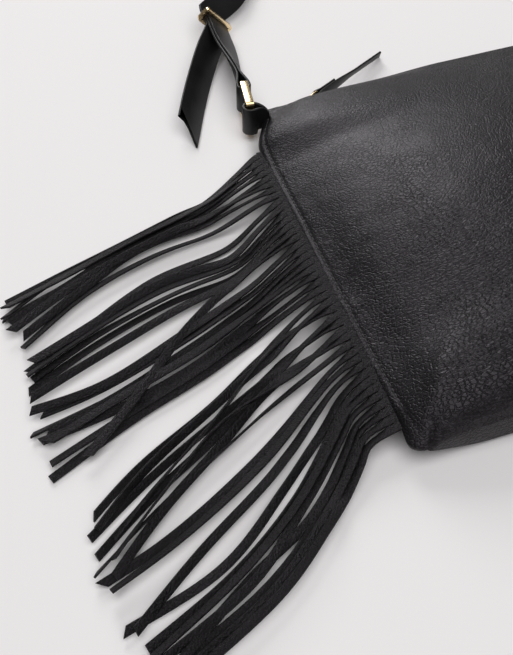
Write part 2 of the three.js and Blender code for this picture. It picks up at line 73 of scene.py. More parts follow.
ZIP_RECESS = 9
TAPE_THICKNESS = 0.8
TEETH_WIDTH = 2.6
TEETH_DEPTH = 2.2
TEETH_SPLIT = 0.3
ZIP_START_MARGIN = 22
ZIP_END_MARGIN = 31
TAPE_TAIL = 8
SLIDER_LENGTH = 11
SLIDER_PLATE = 1.3
BRIDGE_HEIGHT = 4.2
BRIDGE_BAR = 1.2
PULL_WIRE = 1.2
PULL_LINK_LENGTH = 9
THONG_WIDTH = 8
THONG_THICKNESS = 1.5
THONG_LENGTH = 84
THONG_FOLD = 24
PULL_ANGLE = 34

STRAND_COUNT = 42
STRAND_LENGTH = 206
STRAND_KERF = 0.6
STRAND_THICKNESS = 1.4
HEADER_THICKNESS = 2.2
HEADER_DEPTH = 5
HEADER_SHOW = 3
FRINGE_TOP_MARGIN = 42
FRINGE_BASE_MARGIN = 14
STRAND_RUN = 22
STRAND_DRIFT = 0.42
STRAND_DROP = 64

STRAP_WIDTH = 22
STRAP_THICKNESS = 2
RING_BAR = 2.6
RING_THICKNESS = 5.5
RING_CLEAR = 1
RING_SPAN = 25
TAB_LENGTH = 17
TAB_LEAF = 2.2
CHAPE_LEAF = 1.8
CHAPE_OVERRUN = 6
CHAPE_STRAIGHT = 14
CHAPE_TWIST = 0.9
KEEPER_BAR = 2.6
KEEPER_LENGTH = 3.4
TAIL_CUT = 24
SEWN_LEAF = 46
CORNER_REACH = 11
PIVOT_DROP = 8
PIVOT_RISE = 17.5
TAB_HEADING = 75
LEFT_TURN = 83
RIGHT_TURN = -15
KEEPER_PLACE = (12, 120, -0.5)
KEEPER_HEADING = 4
KEEPER_LEAN = -42
FLAT_LEAN = -36

BASE_Y = -BAG_HEIGHT / 2
MOUTH_Y = BAG_HEIGHT / 2
SEAM_X = BAG_WIDTH / 2
TAPE_Y = MOUTH_Y - ZIP_RECESS
UP = Vector((0, 0, 1))


def smooth(t):
    """Goes from 0 at 0 to 1 at 1, level at both ends and beyond them."""
    t = min(max(t, 0), 1)
    return t * t * (3 - 2 * t)


def ramp(value, start, over):
    """Goes smoothly from 0 at start to 1 at start + over."""
    return smooth((value - start) / over)


def shares_of(steps):
    """Even shares of a way, from 0 to 1."""
    return [i / steps for i in range(steps + 1)]


def hump(t):
    """A smooth bump that is 1 at 0 and nearly 0 beyond 2."""
    return math.exp(-t * t)


def band(value, middle, half):
    """A hump about a middle, nearly 0 beyond twice the half width."""
    return hump((value - middle) / half)


# Meshes


def clear_selection():
    for item in bpy.context.selected_objects:
        item.select_set(False)


def new_item(name, data):
    made = bpy.data.objects.new(name, data)
    bpy.context.collection.objects.link(made)
    return made


def set_mode(mode):
    bpy.ops.object.mode_set(mode=mode)


def close_up(weld):
    """Merges doubles, turns faces outwards and leaves edit mode."""
    bpy.ops.mesh.select_all(action="SELECT")
    bpy.ops.mesh.remove_doubles(threshold=weld)
    bpy.ops.mesh.normals_make_consistent(inside=False)
    set_mode("OBJECT")


def dress(made, material, body, sharp):
    """Smooths a piece up to an angle and gives it its material and, if it has one, its body."""
    bpy.ops.object.shade_smooth_by_angle(angle=math.radians(sharp))
    made.data.materials.append(material)
    if body:
        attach(made, body)


def soft_piece(name, form, material, body, sharp=40):
    """A piece from points in millimetres and faces, with doubles merged and faces turned outwards."""
    points, faces = form
    mesh = bpy.data.meshes.new(name)
    mesh.from_pydata([Vector(p) * MM for p in points], [], faces)
    made = new_item(name, mesh)
    clear_selection()
    made.select_set(True)
    bpy.context.view_layer.objects.active = made
    set_mode("EDIT")
    close_up(WELD)
    dress(made, material, body, sharp)
    return made


def block(name, size):
    """A box of this size in millimetres about the origin, as the active object."""
    clear_selection()
    bpy.ops.mesh.primitive_cube_add(size=1, location=(0, 0, 0))
    made = bpy.context.active_object
    made.name = name
    made.scale = [value * MM for value in size]
    bpy.ops.object.transform_apply(location=False, rotation=False, scale=True)
    return made


def pick(made, kind, items, wanted):
    """Selects the edges or faces that are wanted, and leaves the mesh in edit mode."""
    set_mode("EDIT")
    bpy.ops.mesh.select_mode(type=kind)
    bpy.ops.mesh.select_all(action="DESELECT")
    set_mode("OBJECT")
    for item in getattr(made.data, items):
        item.select = wanted(item)
    set_mode("EDIT")


def skin(rings, capped=True):
    """Points and faces of a tube through rings of equal count."""
    count = len(rings[0])
    points = [p for ring in rings for p in ring]
    faces = []
    for r in range(len(rings) - 1):
        for i in range(count):
            j = (i + 1) % count
            faces.append((r * count + i, r * count + j, (r + 1) * count + j, (r + 1) * count + i))
    if capped:
        faces.append(tuple(range(count))[::-1])
        faces.append(tuple((len(rings) - 1) * count + i for i in range(count)))
    return points, faces


def joined(parts):
    """Several sets of points and faces as one."""
    points = []
    faces = []
    for some_points, some_faces in parts:
        start = len(points)
        points += some_points
        faces += [tuple(start + i for i in face) for face in some_faces]
    return points, faces


FULLEST_EDGE = 0.95


def strip_profile(width, thickness, edge):
    """Section of a leather strip with rounded edges, as (across, off) pairs."""
    half, thick = width / 2, thickness / 2
    corner = min(edge, thick * FULLEST_EDGE)
    quarter = [(math.cos(t), math.sin(t)) for t in (0, math.pi / 4, math.pi / 2)]
    profile = []
    for su, sv, order in ((1, 1, 1), (-1, 1, -1), (-1, -1, 1), (1, -1, -1)):
        for c, s in quarter[::order]:
            profile.append((su * (half - corner + corner * c), sv * (thick - corner + corner * s)))
    return profile


def strip(stations, width, thickness, edge, first_cut=0, last_cut=0):
    """A strip along stations of (point, across); the length of across scales its width at that station.

    A cut slants an end by that distance over the width."""
    profile = strip_profile(width, thickness, edge)
    rings = []
    last = len(stations) - 1
    for i, (at, across) in enumerate(stations):
        along = (stations[min(i + 1, last)][0] - stations[max(i - 1, 0)][0]).normalized()
        across = (across - along * across.dot(along)).normalized() * across.length
        off = along.cross(across).normalized()
        slant = first_cut if i == 0 else last_cut if i == last else 0
        rings.append([at + across * u + off * v + along * slant * u / width for u, v in profile])
    return skin(rings)


class Route:
    """A smooth curve through points, read by distance along it."""

    LEAST_SPAN = 1e-6
    LEAST_STEP = 1e-9

    def __init__(self, points, steps=24):
        points = [Vector(p).to_3d() for p in points]
        ends = [points[0] * 2 - points[1], *points, points[-1] * 2 - points[-2]]
        self.line = [points[0]]
        for a, b, c, d in zip(ends, ends[1:], ends[2:], ends[3:]):
            knots = [0]
            for p, q in ((a, b), (b, c), (c, d)):
                knots.append(knots[-1] + max((q - p).length, self.LEAST_SPAN) ** 0.5)
            for step in range(1, steps + 1):
                t = knots[1] + (knots[2] - knots[1]) * step / steps
                self.line.append(self.between((a, b, c, d), knots, t))
        self.runs = [0]
        for p, q in zip(self.line, self.line[1:]):
            self.runs.append(self.runs[-1] + (q - p).length)
        self.length = self.runs[-1]

    @staticmethod
    def between(points, knots, t):
        """The place at t between the middle two of four points, by going between neighbours three times."""
        level = points
        for reach in (1, 2):
            shares = [(t - knots[i]) / (knots[i + reach] - knots[i]) for i in range(4 - reach)]
            level = [level[i].lerp(level[i + 1], share) for i, share in enumerate(shares)]
        return level[0].lerp(level[1], (t - knots[1]) / (knots[2] - knots[1]))

    def at(self, run):
        """The place at this distance from the start, found by halving."""
        run = min(max(run, 0), self.length)
        low, high = 0, len(self.runs) - 1
        while high - low > 1:
            middle = (low + high) // 2
            if self.runs[middle] <= run:
                low = middle
            else:
                high = middle
        span = max(self.runs[high] - self.runs[low], self.LEAST_STEP)
        return self.line[low].lerp(self.line[high], (run - self.runs[low]) / span)


# Materials


class Wire:
    """A socket in a material. Sums on it add Math nodes, and node adds any other kind."""

    def __init__(self, tree, socket):
        self.tree = tree
        self.socket = socket

    def node(self, kind, settings, inputs, output=0):
        made = self.tree.nodes.new(kind)
        for key, value in settings.items():
            setattr(made, key, value)
        for key, value in inputs.items():
            if isinstance(value, Wire):
                self.tree.links.new(value.socket, made.inputs[key])
            else:
                made.inputs[key].default_value = value
        return Wire(self.tree, made.outputs[output])

    def maths(self, operation, *values):
        return self.node("ShaderNodeMath", {"operation": operation}, dict(enumerate(values)))

    def __add__(self, other):
        return self.maths("ADD", self, other)

    def __sub__(self, other):
        return self.maths("SUBTRACT", self, other)

    def __rsub__(self, other):
        return self.maths("SUBTRACT", other, self)

    def __mul__(self, other):
        return self.maths("MULTIPLY", self, other)

    __radd__ = __add__
    __rmul__ = __mul__

    def between(self, low, high, out_low=0, out_high=1):
        """The value carried from low..high to out_low..out_high, smoothly and within it."""
        settings = {"interpolation_type": "SMOOTHSTEP"}
        values = {"Value": self, "From Min": low, "From Max": high, "To Min": out_low, "To Max": out_high}
        return self.node("ShaderNodeMapRange", settings, values)

    def noise(self, scale, detail=2, roughness=0.5, output=0):
        values = {"Vector": self, "Scale": scale, "Detail": detail, "Roughness": roughness}
        return self.node("ShaderNodeTexNoise", {}, values, output)

    def wander(self, scale):
        """A vector that changes smoothly from place to place."""
        return self.noise(scale, output="Color")

    def cells(self, scale, feature):
        values = {"Vector": self, "Scale": scale}
        return self.node("ShaderNodeTexVoronoi", {"feature": feature}, values, "Distance")

    def part(self, axis):
        return self.node("ShaderNodeSeparateXYZ", {}, {0: self}, axis)

    def nudged(self, other, amount):
        """This place moved by another vector times an amount."""
        moved = self.node("ShaderNodeVectorMath", {"operation": "SCALE"}, {0: other, "Scale": amount})
        return self.node("ShaderNodeVectorMath", {"operation": "ADD"}, {0: self, 1: moved})

    def blend(self, first, second):
        """A colour between two, with this value as the share of the second.

        The Mix node's colour sockets are known by number, since its sockets share their names."""
        first, second = [each if isinstance(each, Wire) else (*each, 1) for each in (first, second)]
        return self.node("ShaderNodeMix", {"data_type": "RGBA"}, {0: self, 6: first, 7: second}, 2)

    def bump(self, strength, distance, under=None):
        inputs = {"Height": self, "Strength": strength, "Distance": distance}
        if under:
            inputs["Normal"] = under
        return self.node("ShaderNodeBump", {}, inputs)


def finish(name, look, **fixed):
    """A material whose look function gives the sockets that vary. fixed are plain socket values."""
    made = bpy.data.materials.new(name)
    made.use_nodes = True
    tree = made.node_tree
    shader = tree.nodes["Principled BSDF"]
    for key, value in fixed.items():
        shader.inputs[key.replace("_", " ")].default_value = value
    place = Wire(tree, tree.nodes.new("ShaderNodeTexCoord").outputs["Object"])
    for key, value in look(place).items():
        tree.links.new(value.socket, shader.inputs[key])
    return made


def pebbled(place):
    """Round pebbles, drawn out into wrinkles on the left and fainter towards the upper left corner."""
    moved = place.nudged(place.wander(170), 0.0014)
    drawn = place.node("ShaderNodeMapping", {}, {"Vector": moved, "Scale": (0.55, 1.0, 0.8)})
    pebbles = moved.cells(430, "DISTANCE_TO_EDGE").between(0.0, 0.22)
    wrinkles = drawn.cells(520, "DISTANCE_TO_EDGE").between(0.0, 0.20)
    near_seam = place.part("X").between(-0.10, -0.03, 1.0, 0.0)
    mixed = pebbles * (1 - near_seam) + wrinkles * near_seam
    coarse = (place.part("X") - place.part("Y")).between(-0.22, 0.14, 0.2, 1.0)
    strong = place.noise(26, 3).between(0.34, 0.66, 0.45, 1.0) * coarse
    height = mixed * strong + place.noise(1500, 3) * 0.25
    folds = place.noise(48, 3).bump(0.2, 0.003)
    tone = place.noise(14).blend((0.0056, 0.0050, 0.0058), (0.0076, 0.0068, 0.0080))
    return {
        "Base Color": (mixed * 0.6 + 0.4).blend((0.0024, 0.0022, 0.0024), tone),
        "Roughness": 0.37 + 0.12 * place.noise(60) - 0.06 * mixed,
        "Normal": height.bump(0.85, 0.0007, folds),
    }


def strand_grain(place):
    """The matt, finely broken face of the strands."""
    grain = place.nudged(place.wander(300), 0.0008).cells(950, "SMOOTH_F1")
    fine = place.noise(3000)
    tone = place.noise(30).between(0.3, 0.7)
    return {
        "Base Color": tone.blend((0.0036, 0.0034, 0.0037), (0.0070, 0.0065, 0.0072)),
        "Roughness": 0.42 + 0.16 * fine,
        "Normal": (1 - grain + fine * 0.4).bump(1.0, 0.001),
    }


def strap_grain(place):
    """Smoother leather, for straps and tabs."""
    grain = place.nudged(place.wander(300), 0.0008).cells(1100, "SMOOTH_F1")
    broad = place.noise(40, 3)
    tone = broad.between(0.3, 0.7)
    return {
        "Base Color": tone.blend((0.0036, 0.0033, 0.0035), (0.0062, 0.0057, 0.0060)),
        "Roughness": 0.40 + 0.14 * broad,
        "Normal": (1 - grain).bump(0.22, 0.0003, broad.bump(0.2, 0.002)),
    }


def polished_gold(place):
    """Pale gold with slight scuffs."""
    scuffs = place.noise(900, 4, 0.7)
    tone = place.noise(70, 3).between(0.3, 0.7)
    return {
        "Base Color": tone.blend((0.80, 0.60, 0.32), (0.90, 0.72, 0.44)),
        "Roughness": 0.16 + 0.12 * scuffs,
        "Normal": scuffs.bump(0.04, 0.0001),
    }


def woven(place, threads, dark, light):
    """A plain weave. threads is in radians per metre."""
    across = place.maths("SINE", place.part("X") * threads)
    along = place.maths("SINE", place.part("Y") * threads + place.part("Z") * threads)
    weave = across * along * 0.5 + 0.5
    return {
        "Base Color": (weave * 0.7 + place.noise(500) * 0.3).blend(dark, light),
        "Roughness": 0.78 + 0.12 * place.noise(200),
        "Normal": weave.bump(0.4, 0.0003),
    }


def lining_weave(place):
    return woven(place, 9000, (0.035, 0.032, 0.030), (0.075, 0.070, 0.064))


def tape_weave(place):
    return woven(place, 7000, (0.010, 0.010, 0.011), (0.028, 0.027, 0.029))


def moulded_black(place):
    cloud = place.noise(300)
    return {
        "Base Color": cloud.blend((0.012, 0.012, 0.012), (0.022, 0.022, 0.022)),
        "Roughness": 0.34 + 0.12 * cloud,
        "Normal": place.noise(2500).bump(0.08, 0.0001),
    }


def thread_twist(place):
    ply = place.noise(2600)
    return {
        "Base Color": ply.blend((0.020, 0.018, 0.020), (0.055, 0.051, 0.055)),
        "Roughness": 0.55 + 0.2 * ply,
        "Normal": ply.bump(0.3, 0.0002),
    }


def paper(place):
    cloud = place.noise(3)
    return {
        "Base Color": cloud.blend((0.86, 0.835, 0.84), (0.88, 0.855, 0.86)),
        "Roughness": 0.8 + 0.05 * cloud,
    }


SHEEN_TINT = (1.0, 0.93, 1.0, 1)
shell_leather = finish("pebbled_leather", pebbled, Specular_IOR_Level=0.32, Specular_Tint=SHEEN_TINT)
fringe_leather = finish("fringe_leather", strand_grain, Specular_IOR_Level=0.32, Specular_Tint=SHEEN_TINT)
strap_leather = finish("strap_leather", strap_grain, Specular_IOR_Level=0.36)
gold = finish("gold_metal", polished_gold, Metallic=1.0)
lining_cloth = finish("lining_cloth", lining_weave)
tape_cloth = finish("zip_cloth", tape_weave)
teeth_plastic = finish("zip_teeth", moulded_black)
thread = finish("sewing_thread", thread_twist)


# Camera, at the place that the photograph was taken from


def aim(item, target):
    item.rotation_euler = (Vector(target) - item.location).to_track_quat("-Z", "Y").to_euler()


CAMERA_AT = (-352.1, -436.8, 513.9)
CAMERA_TARGET = (-213.9, -28.4, 0)
CAMERA_LENS = 60
CAMERA_SENSOR = 36

camera_data = bpy.data.cameras.new("camera")
camera_data.lens = CAMERA_LENS
camera_data.sensor_fit = "VERTICAL"
camera_data.sensor_height = CAMERA_SENSOR
camera_data.sensor_width = CAMERA_SENSOR
camera = new_item("camera", camera_data)
camera.location = Vector(CAMERA_AT) * MM
aim(camera, Vector(CAMERA_TARGET) * MM)
bpy.context.scene.camera = camera


# Bag body. Across the bag, a goes from -1 at the left seam to 1 at the right one.
# roll goes from 0 at the foot of the rolled base to 1 where the panels start. inset is the depth under
# the leather's face.

BOXY = 2.2
BASE_BOXY = 1.6
BASE_SHARE = 0.25
MOUTH_BOXY = 3
MOUTH_RAMP = (0.78, 0.2)
FRONT_BLUNTNESS = 1.6
BACK_BLUNTNESS = 0.7
WORN_FRONT_ROLL = 0.65
WORN_BACK_ROLL = 0.12


def half_width(y, roll):
    corner = ramp(y, MOUTH_Y - MOUTH_CORNER_LENGTH, MOUTH_CORNER_LENGTH)
    return BAG_WIDTH / 2 - MOUTH_CORNER_INSET * corner - BASE_CORNER_INSET * (1 - roll)


def front_height(a, y, roll, inset):
    rise = (y - BASE_Y) / BAG_HEIGHT
    crown = BASE_DEPTH + (MOUTH_TOP - BASE_DEPTH) * rise + BELLY * math.sin(math.pi * rise)
    near_base = 1 - smooth(rise / BASE_SHARE)
    near_mouth = ramp(rise, *MOUTH_RAMP)
    boxy = BOXY + BASE_BOXY * near_base + MOUTH_BOXY * near_mouth
    bluntness = FRONT_BLUNTNESS / (0.5 + boxy / 2)
    return SEAM_HEIGHT + (crown - inset - SEAM_HEIGHT) * roll * max(1 - abs(a) ** boxy, 0) ** bluntness


def back_height(a, y, roll, inset):
    lift = MOUTH_BOTTOM * ramp(y, MOUTH_Y - MOUTH_LIFT, MOUTH_LIFT)
    edge = max(0, (abs(a) - BACK_FLAT_SHARE) / (1 - BACK_FLAT_SHARE))
    return SEAM_HEIGHT - (SEAM_HEIGHT - lift - inset) * roll * max(1 - edge**2, 0) ** BACK_BLUNTNESS


# Forms of the worn leather. A band has its middle and its half width, and a ramp its start and its length.

LOW_RAMP = (70, -110)
SWELL = 1.6
SWELL_REACH = 60
VALLEY = 1.5
VALLEY_BAND = (13, 10)
VALLEY_RAMP = (-140, 30)
PUCKER = 0.5
LOW_PUCKER = 0.9
PUCKER_START = 6
PUCKER_FADE = 32
CRINKLE = 0.45
CRINKLE_START = 5
CRINKLE_FADE = 14
HOLLOW = 3.5
HOLLOW_BAND = (12, 12)
HOLLOW_RAMP = (120, 24)
FOLD = 2.4
FOLD_AT = (152, -138)
FOLD_SLOPE = (0.8, 0.6)
FOLD_HALF = 5
FOLD_BAND = (-122, 14)
STITCH_INSET = 4.4
GROOVE = 0.6
GROOVE_HALF = 0.9
SEAM_LIP = 0.3
SEAM_LIP_BAND = (1.8, 1.2)
EAR_AT = (160, -144, 9)
EAR_RADIUS = 9
EAR_OUT = 6
EAR_DOWN = 3
CREASE = 2.8
CREASE_X = 154
CREASE_HALF = 1.3
CREASE_SLOPE = 0.2
CREASE_MIDDLE_Z = 12
CREASE_RAMP = (-137, -8)
WALL_BULGE = 1.5
WALL_WRINKLE = 0.8
SLACK_X_RAMP = (-10, -60)
SLACK_Y_RAMP = (141.5, 7)
SLACK_Z_RAMP = (SEAM_HEIGHT, 5)
SLACK_DROP = Vector((0, 3.0, 0.9))


def panel_relief(x, y, half):
    """Rise of the front leather over its plain form: swells, valley, puckers, folds and the sewn line."""
    inward = half - abs(x)
    low = ramp(y, *LOW_RAMP)
    side = 7.7 if x < 0 else 2.3
    wave = noise.noise(Vector((x * 0.010, y * 0.014, 3.1)))
    ripple = noise.noise(Vector((inward * 0.03, y * 0.10, side)))
    fine = noise.noise(Vector((inward * 0.05, y * 0.27, side + 4)))
    off_fold = (abs(x) - FOLD_AT[0]) * FOLD_SLOPE[0] + (y - FOLD_AT[1]) * FOLD_SLOPE[1]
    relief = SWELL * wave * smooth(inward / SWELL_REACH)
    relief -= VALLEY * low * ramp(y, *VALLEY_RAMP) * band(inward, *VALLEY_BAND)
    pucker = PUCKER + LOW_PUCKER * low
    relief += pucker * ripple * smooth(inward / PUCKER_START) * math.exp(-inward / PUCKER_FADE)
    relief += CRINKLE * fine * smooth(inward / CRINKLE_START) * math.exp(-inward / CRINKLE_FADE)
    relief -= HOLLOW * ramp(y, *HOLLOW_RAMP) * band(inward, *HOLLOW_BAND)
    relief += FOLD * hump(off_fold / FOLD_HALF) * band(y, *FOLD_BAND)
    relief -= GROOVE * band(inward, STITCH_INSET, GROOVE_HALF)
    relief += SEAM_LIP * band(inward, *SEAM_LIP_BAND)
    return relief


def corner_pull(at, roll):
    """Carries the leather of the base out into the small folded ear at each corner, and wrinkles its wall."""
    side = 1 if at.x > 0 else -1
    from_ear = Vector((abs(at.x) - EAR_AT[0], at.y - EAR_AT[1], at.z - EAR_AT[2]))
    ear = hump(from_ear.length / EAR_RADIUS)
    from_crease = abs(at.x) - CREASE_X + CREASE_SLOPE * (at.z - CREASE_MIDDLE_Z)
    crease = hump(from_crease / CREASE_HALF) * ramp(at.y, *CREASE_RAMP)
    wrinkle = noise.noise(Vector((at.x * 0.022, at.z * 0.34, 9)))
    at.x += side * EAR_OUT * ear
    at.y += CREASE * crease - EAR_DOWN * ear - (WALL_BULGE + WALL_WRINKLE * wrinkle) * (1 - roll)
    return at


def mouth_slack(at):
    """Lets the front edge of the mouth sink towards its left end, where the zip leaves it loose."""
    slack = ramp(at.y, *SLACK_Y_RAMP) * ramp(at.x, *SLACK_X_RAMP) * ramp(at.z, *SLACK_Z_RAMP)
    return at - slack * SLACK_DROP


def section(y, roll, inset, steps, worn=False):
    """A ring round the body, along its back and then back along its front; worn adds the worn forms."""
    half = half_width(y, roll) - (inset + SEAM_ALLOWANCE if inset > 0 else 0)
    front_roll, back_roll = (roll**WORN_FRONT_ROLL, roll**WORN_BACK_ROLL) if worn else (roll, roll)
    ring = []
    for share in shares_of(steps):
        a = -math.cos(share * math.pi)
        ring.append(Vector((half * a, y, back_height(a, y, back_roll, inset))))
    for share in shares_of(steps)[1:-1]:
        a = math.cos(share * math.pi)
        lifted = panel_relief(half * a, y, half) * roll if worn else 0
        ring.append(Vector((half * a, y, front_height(a, y, front_roll, inset) + lifted)))
    if worn and roll < 1:
        return [corner_pull(at, roll) for at in ring]
    return [mouth_slack(at) for at in ring]


def body_rings(inset, end_y, turns, rows, steps, worn=False):
    """Rings from the base up to end_y: turns of them round the rolled base, then rows up the panels."""
    rings = []
    for share in shares_of(turns):
        turn = share * math.pi / 2
        y = BASE_Y + inset + (BASE_ROLL - inset) * (1 - math.cos(turn))
        rings.append(section(y, math.sin(turn), inset, steps, worn))
    start_y = BASE_Y + BASE_ROLL
    for i in range(1, rows + 1):
        y = start_y + (end_y - start_y) * i / rows
        rings.append(section(y, 1, inset, steps, worn))
    return rings


SHELL_STEPS = 130
RIM_DEPTH = 1.6
RIM_SHOULDER = 0.7
RIM_ROUND = ((RIM_SHOULDER, 0), (0, 0.4), (0, 1.4), (RIM_SHOULDER, LEATHER))


def make_shell():
    """The leather body, worn outside and plain inside, with a rounded edge at the mouth."""
    rim_start = MOUTH_Y - RIM_DEPTH
    outer = body_rings(0, rim_start, turns=28, rows=104, steps=SHELL_STEPS, worn=True)
    rim = [section(MOUTH_Y - down, 1, inset, SHELL_STEPS, worn=inset < 1) for down, inset in RIM_ROUND]
    inner = body_rings(LEATHER, rim_start, turns=5, rows=16, steps=SHELL_STEPS)[::-1]
    form = skin(outer + rim + inner, capped=False)
    shell = soft_piece("leather_shell", form, shell_leather, "bag", sharp=60)
    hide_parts("outer_shell")


make_shell()

STITCH_LENGTH = 3.1
STITCH_PITCH = 4.0
STITCH_RADIUS = 0.5
STITCH_SIDES = 6
STITCH_LIFT = 0.5
STITCH_SINK = 0.2
STITCH_TOP_MARGIN = 12
# Share of a stitch's length, and share of its radius there
STITCH_FORM = ((0, 0.3), (0.18, 0.9), (0.5, 1), (0.82, 0.9), (1, 0.3))


def make_stitch(side, start_y):
    rings = []
    for share, fullness in STITCH_FORM:
        y = start_y - STITCH_LENGTH * share
        half = half_width(y, 1)
        x = half - STITCH_INSET
        z = front_height(x / half, y, 1, 0) + panel_relief(side * x, y, half)
        z += STITCH_LIFT * fullness - STITCH_SINK
        ring = []
        for i in range(STITCH_SIDES):
            turn = 2 * math.pi * i / STITCH_SIDES
            off = Vector((math.cos(turn), 0, math.sin(turn))) * STITCH_RADIUS * fullness
            ring.append(Vector((side * x, y, z)) + off)
        rings.append(ring)
    return skin(rings)


def make_stitches():
    """The sewn line beside each side seam: short slack stitches that sink into the leather at their ends."""
    parts = []
    for side in (-1, 1):
        y = MOUTH_Y - STITCH_TOP_MARGIN
        while y > BASE_Y + BASE_ROLL:
            parts.append(make_stitch(side, y))
            y -= STITCH_PITCH
    soft_piece("seam_stitching", joined(parts), thread, "bag", sharp=60)


make_stitches()


# Fringe

FRINGE_TOP = MOUTH_Y - FRINGE_TOP_MARGIN
FRINGE_BASE = BASE_Y + FRINGE_BASE_MARGIN
STRAND_PITCH = (FRINGE_TOP - FRINGE_BASE) / STRAND_COUNT
LEAF_EDGE = 0.4
LAYER = 1.75
LAYERS = 4
CROSSING_SHARE = 0.6
CROSSING_LAYER = 3.6
ROOT_TUCK = 1.5
ROOT_SLIP = 0.6
RIB_RAMP = (4, 16)
FREE_RAMP = (30, 55)
SWAY_RUN = 40
STRAND_STEPS = 44
STEP_CROWDING = 1.15
HEADER_STEPS = 12

# Each lock of strands lies between an upper and a lower edge, given at four places from near the seam to
# the tips. stand is how far its strands roll onto their edges, in degrees. strands has, for each strand,
# its share of the way from the upper edge to the lower one at each of the four places.
Lock = namedtuple("Lock", "upper lower stand strands")


def hundredths(*strands):
    return [[share / 100 for share in strand] for strand in strands]


LEFT_LOCKS = (
    Lock(
        ((51, 82), (107, 63), (158, 49), (200, 35)),
        ((48, 53), (96, 45), (140, 24), (188, -2)),
        24,
        hundredths(
            (0, 4, 6, 0), (14, 10, 22, 18), (22, 26, 14, 34), (30, 20, 42, 44),
            (44, 40, 32, 28), (52, 60, 58, 66), (66, 56, 76, 86), (100, 102, 86, 100),
        ),
    ),
    Lock(
        ((49, 38), (101, 27), (160, 0), (200, -20)),
        ((48, 6), (90, -5), (136, -19), (196, -40)),
        12,
        hundredths(
            (0, 2, 16, 30), (40, 30, 24, 10), (52, 44, 40, 46), (62, 62, 50, 58),
            (78, 70, 66, 80), (94, 98, 110, 124),
        ),
    ),
    Lock(
        ((46, 0), (90, -22), (151, -46), (202, -50)),
        ((46, -36), (90, -57), (136, -73), (196, -98)),
        14,
        hundredths(
            (-20, 2, 80, 130), (10, 8, 10, 5), (22, 20, 12, 14), (34, 30, 36, 42),
            (44, 46, 30, 34), (58, 56, 52, 62), (70, 74, 66, 50), (84, 84, 86, 86),
            (98, 96, 98, 102),
        ),
    ),
    Lock(
        ((42, -46), (91, -78), (146, -108), (192, -142)),
        ((50, -86), (96, -113), (138, -142), (186, -178)),
        52,
        hundredths(
            (0, 2, 0, 0), (22, 14, 20, 30), (10, 34, 52, 62), (52, 36, 30, 20),
            (44, 60, 56, 50), (82, 56, 74, 84), (70, 86, 90, 104), (100, 94, 80, 70),
        ),
    ),
    Lock(
        ((40, -96), (82, -123), (138, -156), (190, -188)),
        ((29, -147), (61, -178), (95, -204), (166, -237)),
        28,
        hundredths(
            (-4, 0, -4, -30), (6, 10, 6, -12), (18, 24, 26, 40), (34, 42, 48, 24),
            (46, 56, 58, 52), (54, 62, 64, 66), (62, 68, 76, 72), (74, 80, 72, 88),
            (80, 86, 86, 80), (90, 92, 94, 94), (100, 100, 100, 100),
        ),
    ),
)


def loose_strands(count, seed):
    """Shares for a lock whose strands wander a little over their neighbours."""
    chance = random.Random(seed)
    strands = []
    for order in range(count):
        share = (order + 0.5) / count
        strands.append([share + chance.uniform(-0.9, 0.9) * i / 3 / count for i in range(4)])
    return strands


RIGHT_LOCKS = (
    Lock(
        ((50, 90), (106, 80), (156, 66), (204, 50)),
        ((48, 62), (98, 52), (150, 36), (200, 15)),
        20,
        loose_strands(9, 1),
    ),
    Lock(
        ((48, 40), (100, 24), (152, 6), (204, -9)),
        ((46, 16), (96, 2), (146, -14), (198, -38)),
        34,
        loose_strands(8, 2),
    ),
    Lock(
        ((46, -4), (98, -22), (150, -44), (200, -64)),
        ((46, -24), (96, -44), (146, -68), (194, -90)),
        16,
        loose_strands(6, 3),
    ),
    Lock(
        ((44, -40), (94, -70), (146, -96), (198, -120)),
        ((44, -80), (94, -104), (142, -130), (190, -158)),
        40,
        loose_strands(9, 4),
    ),
    Lock(
        ((40, -96), (88, -126), (138, -150), (188, -172)),
        ((32, -142), (66, -174), (106, -200), (172, -226)),
        26,
        loose_strands(10, 5),
    ),
)


